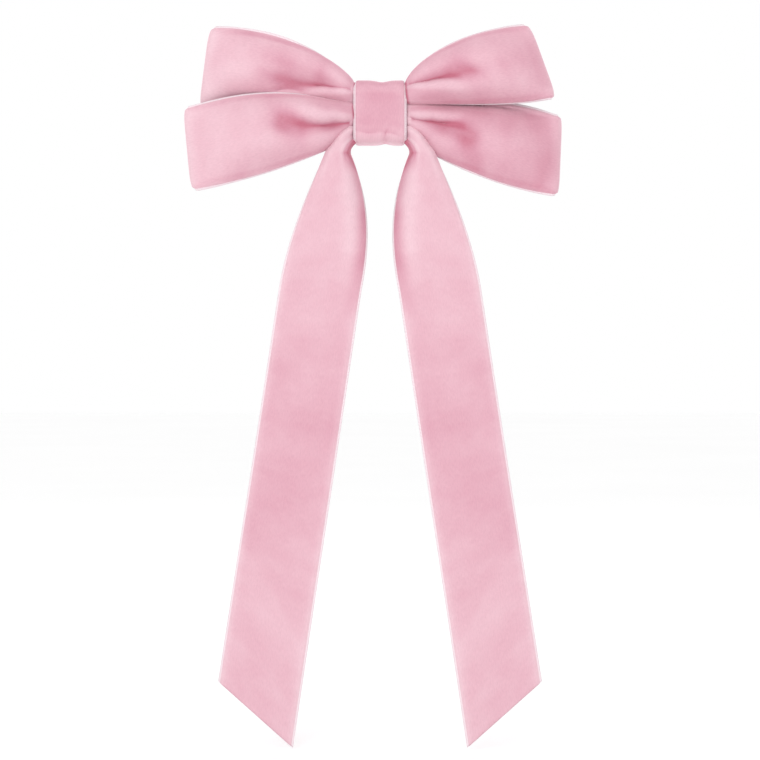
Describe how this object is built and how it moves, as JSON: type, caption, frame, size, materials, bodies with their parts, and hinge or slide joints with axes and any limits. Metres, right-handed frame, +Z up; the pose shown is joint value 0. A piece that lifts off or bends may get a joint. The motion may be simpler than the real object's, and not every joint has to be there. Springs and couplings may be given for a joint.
{
  "type": "hair barrette",
  "caption": "Hair barrette: a velvet ribbon bow with crossed loops, a wrapped knot and long slant-cut tails, sewn on a sprung automatic clip.",
  "frame": {"origin": "middle of the channel that holds the hair, between the clip's leaf spring and its clasp arm", "axes": "+Z up as worn, with the tails hanging towards -Z; +X along the clip from the hinge to the catch; -Y out of the bow's face and +Y towards the head"},
  "size_m": [0.1139, 0.0283, 0.213],
  "materials": {
    "velvet": "short soft pile, pale pink",
    "thread": "spun polyester",
    "clip_steel": "nickel plated",
    "spring_steel": "nickel plated, bright"
  },
  "bodies": {
    "bow_and_plate": {"top_plate": "clip_steel", "hinge_pin": "clip_steel", "catch_base": "spring_steel", "catch_rivet": "clip_steel", "knot_wrap": "velvet", "binding_thread": "thread", "loop_front": "velvet", "loop_back": "velvet", "tail_gather_left": "velvet", "tail_gather_right": "velvet"},
    "clasp_arm": {"clasp_arm": "clip_steel"},
    "tension_leaf": {"tension_leaf": "spring_steel"},
    "catch_leg_upper": {"catch_leg_upper": "spring_steel"},
    "catch_leg_lower": {"catch_leg_lower": "spring_steel"},
    "tail_left": {"tail_left": "velvet"},
    "tail_right": {"tail_right": "velvet"}
  },
  "joints": [
    {"name": "arm_hinge", "type": "hinge", "parent": "bow_and_plate", "child": "clasp_arm", "pos_m": [-0.0368, 0.0009, 0], "axis": [0, 0, 1], "range_deg": [0, 70]},
    {"name": "leaf_flex", "type": "hinge", "parent": "bow_and_plate", "child": "tension_leaf", "pos_m": [-0.0324, -0.00155, 0], "axis": [0, 0, 1], "range_deg": [0, 7]},
    {"name": "catch_press_upper", "type": "hinge", "parent": "bow_and_plate", "child": "catch_leg_upper", "pos_m": [0.0364, -0.0017, 0.0023], "axis": [-1, 0, 0], "range_deg": [0, 9], "stiffness_Nm_per_rad": 0.15},
    {"name": "catch_press_lower", "type": "hinge", "parent": "bow_and_plate", "child": "catch_leg_lower", "pos_m": [0.0364, -0.0017, -0.0023], "axis": [1, 0, 0], "range_deg": [0, 9], "stiffness_Nm_per_rad": 0.15},
    {"name": "tail_swing_left", "type": "hinge", "parent": "bow_and_plate", "child": "tail_left", "pos_m": [-0.0125, -0.0143, -0.0123], "axis": [1, 0, 0], "range_deg": [-40, 40]},
    {"name": "tail_swing_right", "type": "hinge", "parent": "bow_and_plate", "child": "tail_right", "pos_m": [0.0125, -0.0143, -0.0123], "axis": [1, 0, 0], "range_deg": [-40, 40]}
  ],
  "couplings": [
    {"joint": "leaf_flex", "follows": "arm_hinge", "ratio": 0.1}
  ]
}
